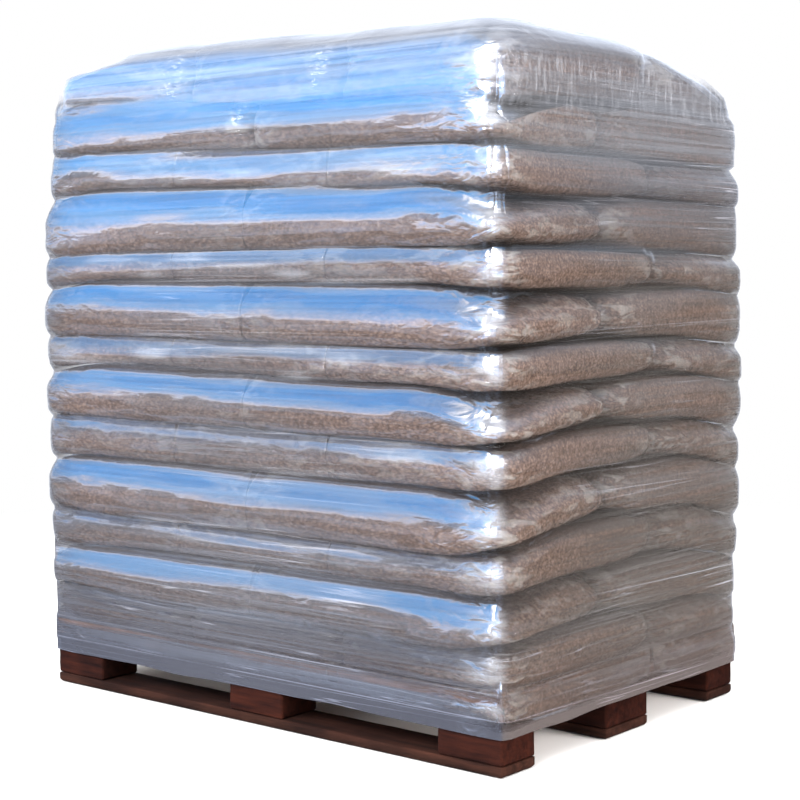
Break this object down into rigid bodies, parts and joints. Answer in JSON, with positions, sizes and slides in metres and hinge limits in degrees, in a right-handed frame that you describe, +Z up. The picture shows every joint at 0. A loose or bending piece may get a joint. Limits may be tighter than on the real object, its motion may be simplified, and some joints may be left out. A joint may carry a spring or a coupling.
{
  "type": "pallet of sacks",
  "caption": "Wooden block pallet stacked with interlocked layers of clear plastic sacks full of brown pellets, under a film sheet and wound in stretch film.",
  "frame": {"origin": "on the floor, under the centre of the pallet", "axes": "+Z up, X along the pallet's long side, Y along its short side, -Y the front"},
  "size_m": [1.2544, 0.8544, 1.3333],
  "materials": {
    "board_wood": "rough sawn, weathered",
    "block_wood": "rough, dark red-brown",
    "pellet_sack": "clear glossy film over brown wood pellets",
    "clear_film": "thin glossy stretch film with streaks and wrinkles"
  },
  "bodies": {
    "root": {"bottom_board_front": "board_wood", "bottom_board_middle": "board_wood", "bottom_board_back": "board_wood", "block_front_left": "block_wood", "block_front_centre": "block_wood", "block_front_right": "block_wood", "block_middle_left": "block_wood", "block_middle_centre": "block_wood", "block_middle_right": "block_wood", "block_back_left": "block_wood", "block_back_centre": "block_wood", "block_back_right": "block_wood", "stringer_board_left": "board_wood", "stringer_board_centre": "board_wood", "stringer_board_right": "board_wood", "deck_board_1": "board_wood", "deck_board_2": "board_wood", "deck_board_3": "board_wood", "deck_board_4": "board_wood", "deck_board_5": "board_wood", "sack_layer_01": "pellet_sack", "sack_layer_02": "pellet_sack", "sack_layer_03": "pellet_sack", "sack_layer_04": "pellet_sack", "sack_layer_05": "pellet_sack", "sack_layer_06": "pellet_sack", "sack_layer_07": "pellet_sack", "sack_layer_08": "pellet_sack", "sack_layer_09": "pellet_sack", "sack_layer_10": "pellet_sack", "sack_layer_11": "pellet_sack", "sack_layer_12": "pellet_sack", "sack_layer_13": "pellet_sack", "top_sheet": "clear_film", "stretch_wrap": "clear_film"}
  },
  "joints": []
}
